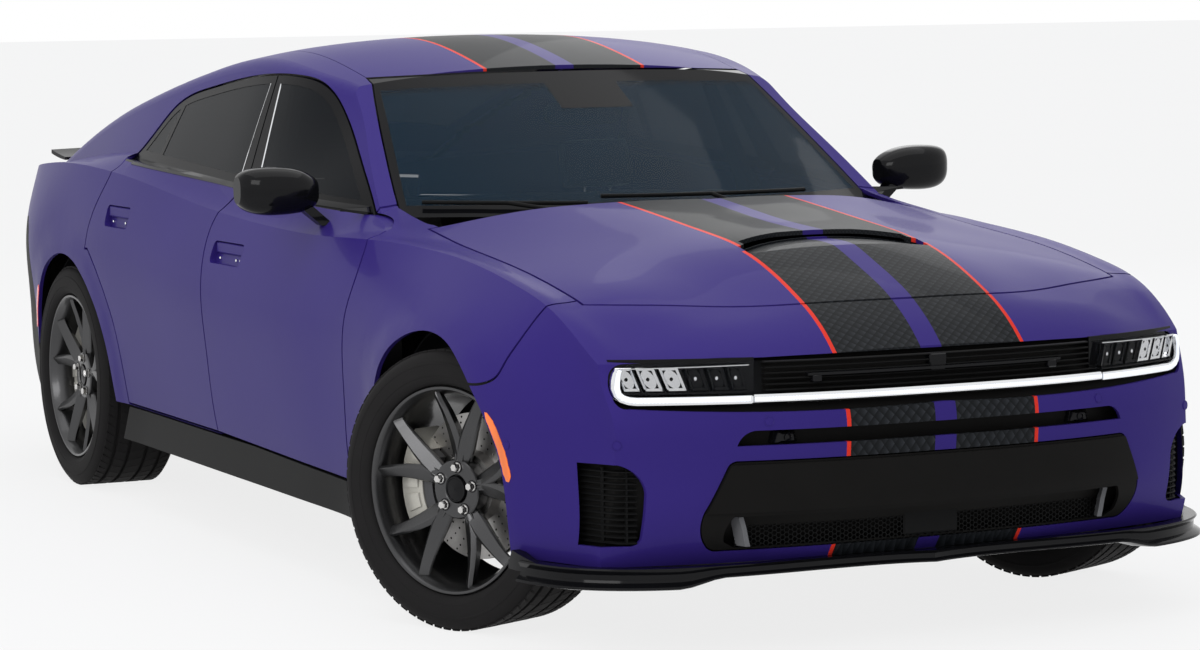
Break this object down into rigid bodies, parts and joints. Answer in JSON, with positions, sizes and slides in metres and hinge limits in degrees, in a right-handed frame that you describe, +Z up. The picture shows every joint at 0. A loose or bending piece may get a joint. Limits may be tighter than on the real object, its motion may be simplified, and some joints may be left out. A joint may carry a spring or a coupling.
{
  "type": "muscle car",
  "caption": "Four-door fastback muscle car with opening doors, hood and tailgate, steered front wheels and rolling tyres.",
  "frame": {"origin": "on the ground under the middle of the car's length and width", "axes": "+Z up, the front faces -Y, the car's left is +X"},
  "size_m": [2.2712, 5.2332, 1.4828],
  "materials": {
    "body_paint": "glossy metallic",
    "black_plastic": "glossy",
    "tinted_glass": "tinted",
    "lamp_lens": "clear",
    "tail_lens": "clear",
    "tyre_rubber": "matte",
    "wheel_black": "satin",
    "cast_metal": "cast",
    "exhaust_steel": "brushed",
    "floor_coat": "matte",
    "trim_plastic": "matte",
    "seat_leather": "soft"
  },
  "bodies": {
    "chassis": {"front_fascia": "body_paint", "front_fenders": "body_paint", "body_sides": "body_paint", "roof_panel": "body_paint", "grille": "black_plastic", "front_splitter": "black_plastic", "cowl": "black_plastic", "side_skirts": "black_plastic", "rear_fascia": "black_plastic", "wheel_liners": "black_plastic", "windshield": "tinted_glass", "headlamps": "lamp_lens", "tail_lamp": "tail_lens", "rear_knuckles": "cast_metal", "front_suspension": "cast_metal", "rear_suspension": "cast_metal", "engine": "cast_metal", "radiator": "cast_metal", "exhaust": "exhaust_steel", "floor_pan": "floor_coat", "dashboard": "trim_plastic", "console": "trim_plastic", "front_seats": "seat_leather", "rear_seat": "seat_leather", "rear_diffuser": "black_plastic", "door_posts": "floor_coat", "wipers": "black_plastic"},
    "steer_left": {"knuckle_left": "cast_metal"},
    "wheel_front_left": {"tyre_front_left": "tyre_rubber", "rim_front_left": "wheel_black"},
    "door_front_left": {"door_front_left": "body_paint", "door_glass_front_left": "tinted_glass", "mirror_left": "black_plastic"},
    "wheel_rear_left": {"tyre_rear_left": "tyre_rubber", "rim_rear_left": "wheel_black"},
    "door_rear_left": {"door_rear_left": "body_paint", "door_glass_rear_left": "tinted_glass"},
    "steer_right": {"knuckle_right": "cast_metal"},
    "wheel_front_right": {"tyre_front_right": "tyre_rubber", "rim_front_right": "wheel_black"},
    "door_front_right": {"door_front_right": "body_paint", "door_glass_front_right": "tinted_glass", "mirror_right": "black_plastic"},
    "wheel_rear_right": {"tyre_rear_right": "tyre_rubber", "rim_rear_right": "wheel_black"},
    "door_rear_right": {"door_rear_right": "body_paint", "door_glass_rear_right": "tinted_glass"},
    "hood": {"hood": "body_paint"},
    "tailgate": {"tailgate": "body_paint", "tailgate_glass": "tinted_glass", "spoiler": "black_plastic"},
    "steering_wheel": {"steering_wheel": "trim_plastic"}
  },
  "joints": [
    {"name": "steer_left", "type": "hinge", "parent": "chassis", "child": "steer_left", "pos_m": [0.865, -1.724, 0.362], "axis": [0, 0, 1], "range_deg": [-57, 10]},
    {"name": "steer_right", "type": "hinge", "parent": "chassis", "child": "steer_right", "pos_m": [-0.865, -1.724, 0.362], "axis": [0, 0, 1], "range_deg": [-57, 10]},
    {"name": "spin_front_left", "type": "hinge", "parent": "steer_left", "child": "wheel_front_left", "pos_m": [0.865, -1.724, 0.362], "axis": [0.9135, 0.4067, 0], "continuous": true},
    {"name": "spin_rear_left", "type": "hinge", "parent": "chassis", "child": "wheel_rear_left", "pos_m": [0.858, 1.35, 0.362], "axis": [1, 0, 0], "continuous": true},
    {"name": "open_door_front_left", "type": "hinge", "parent": "chassis", "child": "door_front_left", "pos_m": [0.978, -1.07, 0.65], "axis": [0, 0, -1], "range_deg": [0, 65]},
    {"name": "open_door_rear_left", "type": "hinge", "parent": "chassis", "child": "door_rear_left", "pos_m": [0.99, 0.03, 0.65], "axis": [0, 0, -1], "range_deg": [0, 65]},
    {"name": "spin_front_right", "type": "hinge", "parent": "steer_right", "child": "wheel_front_right", "pos_m": [-0.865, -1.724, 0.362], "axis": [0.9135, 0.4067, 0], "continuous": true},
    {"name": "spin_rear_right", "type": "hinge", "parent": "chassis", "child": "wheel_rear_right", "pos_m": [-0.858, 1.35, 0.362], "axis": [1, 0, 0], "continuous": true},
    {"name": "open_door_front_right", "type": "hinge", "parent": "chassis", "child": "door_front_right", "pos_m": [-0.978, -1.07, 0.65], "axis": [0, 0, 1], "range_deg": [0, 65]},
    {"name": "open_door_rear_right", "type": "hinge", "parent": "chassis", "child": "door_rear_right", "pos_m": [-0.99, 0.03, 0.65], "axis": [0, 0, 1], "range_deg": [0, 65]},
    {"name": "open_hood", "type": "hinge", "parent": "chassis", "child": "hood", "pos_m": [0, -1.172, 1.012], "axis": [-1, 0, 0], "range_deg": [0, 52]},
    {"name": "open_tailgate", "type": "hinge", "parent": "chassis", "child": "tailgate", "pos_m": [0, 0.655, 1.448], "axis": [1, 0, 0], "range_deg": [0, 60]},
    {"name": "turn_steering_wheel", "type": "hinge", "parent": "chassis", "child": "steering_wheel", "pos_m": [0.38, -0.56, 0.85], "axis": [0, -0.9135, -0.4067], "range_deg": [-756, 136]}
  ],
  "couplings": [
    {"joint": "steer_right", "follows": "steer_left", "ratio": 1},
    {"joint": "turn_steering_wheel", "follows": "steer_left", "ratio": 13}
  ]
}
